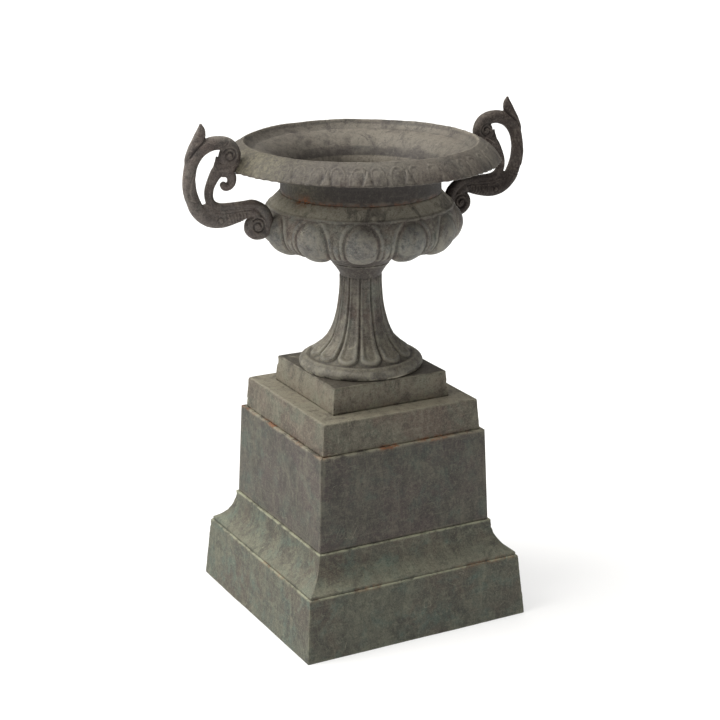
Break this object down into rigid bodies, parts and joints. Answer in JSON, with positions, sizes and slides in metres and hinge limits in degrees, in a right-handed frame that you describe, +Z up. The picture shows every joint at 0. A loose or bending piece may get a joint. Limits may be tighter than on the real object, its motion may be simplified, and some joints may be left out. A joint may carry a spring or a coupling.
{
  "type": "garden urn on pedestal",
  "caption": "Two-handled krater-shaped cast-iron garden urn with a gadrooned bowl, egg-and-dart rim and fluted stem, standing on a square stepped pedestal.",
  "frame": {"origin": "centre of the pedestal's underside, on the ground", "axes": "+Z up, the pedestal's faces look along X and Y, the urn's two handles lie along X"},
  "size_m": [0.6958, 0.5052, 0.9485],
  "materials": {
    "pedestal_iron": "weathered grey-green patina, matt, with pale streaks and a little orange rust at the seams",
    "urn_iron": "weathered brown-grey patina, matt, with yellow-green bloom on the lit side",
    "hardware_iron": "rusty plain iron bar, screws and nuts"
  },
  "bodies": {
    "pedestal": {"cap_block": "pedestal_iron", "corner_angle_back_left": "hardware_iron", "corner_angle_back_right": "hardware_iron", "corner_angle_front_left": "hardware_iron", "corner_angle_front_right": "hardware_iron", "die_panel_back": "pedestal_iron", "die_panel_front": "pedestal_iron", "die_panel_left": "pedestal_iron", "die_panel_right": "pedestal_iron", "panel_screws": "hardware_iron", "plinth_cove": "pedestal_iron", "plinth_slab": "pedestal_iron", "tie_rod_nuts": "hardware_iron", "tie_rod_washers": "hardware_iron", "tie_rods": "hardware_iron"},
    "urn": {"bowl": "urn_iron", "handle_left": "urn_iron", "handle_lower_screws": "hardware_iron", "handle_lower_washers": "hardware_iron", "handle_right": "urn_iron", "handle_upper_screws": "hardware_iron", "neck_bolts": "hardware_iron", "neck_nuts": "hardware_iron", "neck_rim": "urn_iron", "stem": "urn_iron", "stem_tie_bolt": "hardware_iron", "tie_bolt_crossbar": "hardware_iron", "tie_bolt_nut": "hardware_iron", "tie_bolt_washer": "hardware_iron", "urn_foot": "urn_iron"}
  },
  "joints": [
    {"name": "urn_lift", "type": "slide", "parent": "pedestal", "child": "urn", "axis": [0, 0, 1], "range_m": [0, 0.12]}
  ]
}
